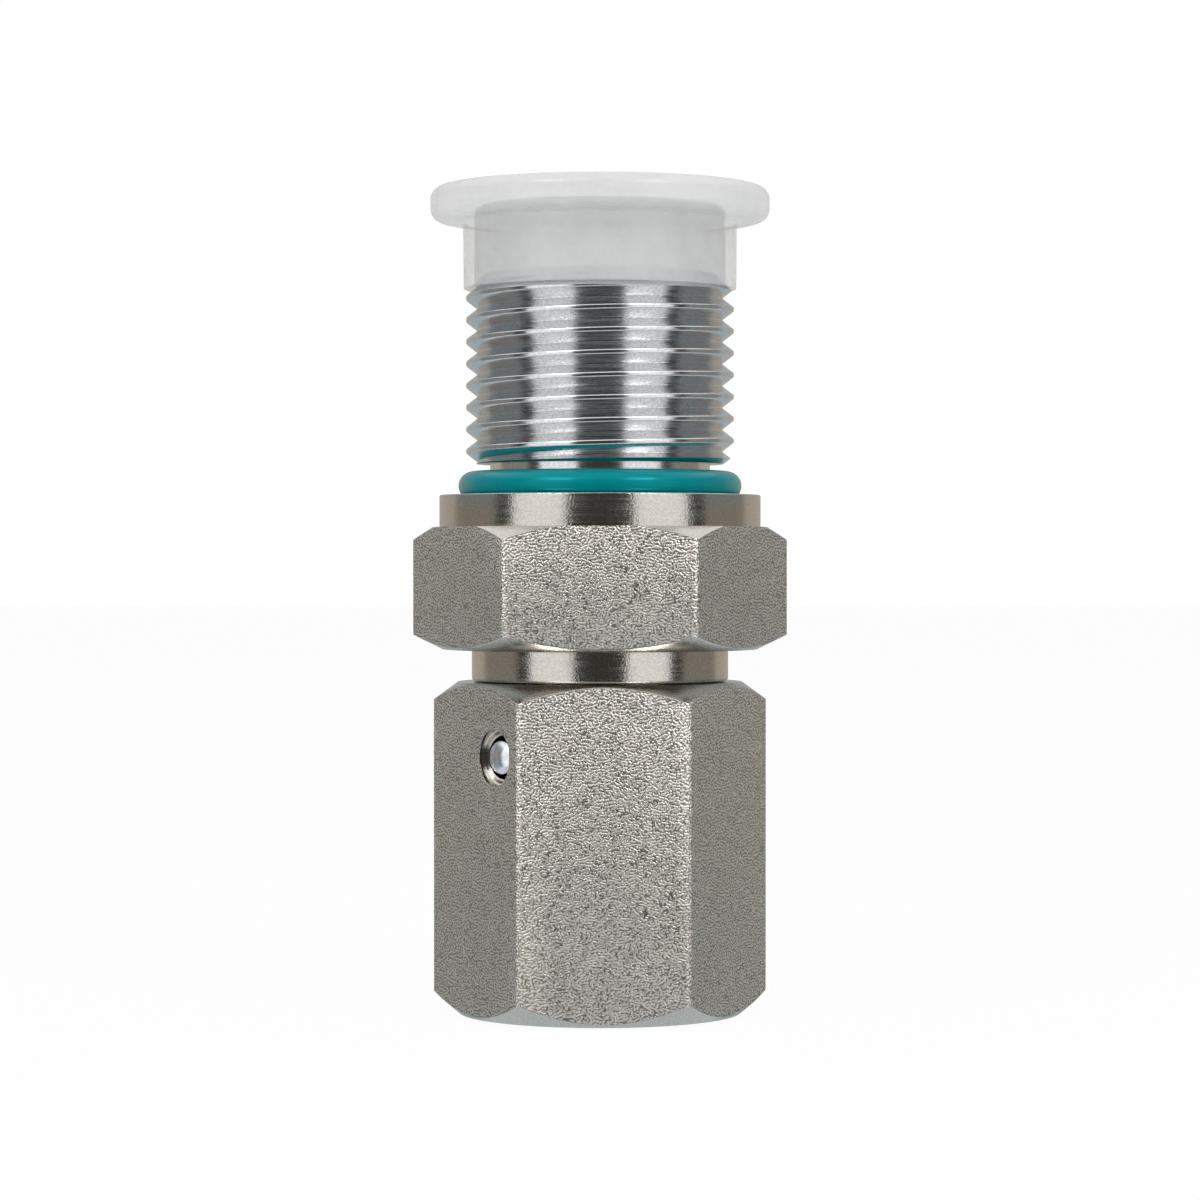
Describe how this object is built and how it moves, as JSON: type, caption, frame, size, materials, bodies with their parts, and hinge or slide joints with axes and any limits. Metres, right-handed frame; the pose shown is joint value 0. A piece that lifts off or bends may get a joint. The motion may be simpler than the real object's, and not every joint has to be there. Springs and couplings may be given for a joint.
{
  "type": "hydraulic swivel fitting",
  "caption": "Straight hydraulic adapter with a sealed stud thread at one end and a freely turning hexagon nut over a 24 degree cone at the other, with a push-on cap.",
  "frame": {"origin": "on the fitting's axis at the level of the nut's lower end face, which is the part's lowest point", "axes": "+Z along the fitting's axis, from the nut's open end up to the capped stud; -Y out of the body flat that faces the front; +X to the right of the front"},
  "size_m": [0.031, 0.028, 0.0683],
  "materials": {
    "nut_steel": "stainless steel, coarse rough satin on the flats, turned on the ends and bevels",
    "wire_steel": "polished hard-drawn steel wire",
    "body_steel": "stainless steel, turned, rough satin on the hexagon's flats",
    "teal_rubber": "smooth coloured rubber",
    "cap_plastic": "milky translucent moulded plastic"
  },
  "bodies": {
    "nut": {"swivel_nut": "nut_steel", "retaining_wire": "wire_steel"},
    "stud": {"stud_body": "body_steel", "stud_o_ring": "teal_rubber", "nose_o_ring": "teal_rubber"},
    "cap": {"protective_cap": "cap_plastic"}
  },
  "joints": [
    {"name": "nut_swivel", "type": "hinge", "parent": "nut", "child": "stud", "pos_m": [0, 0, 0.0215], "axis": [0, 0, 1], "continuous": true},
    {"name": "cap_pull", "type": "slide", "parent": "stud", "child": "cap", "axis": [0, 0, 1], "range_m": [0, 0.03]}
  ]
}
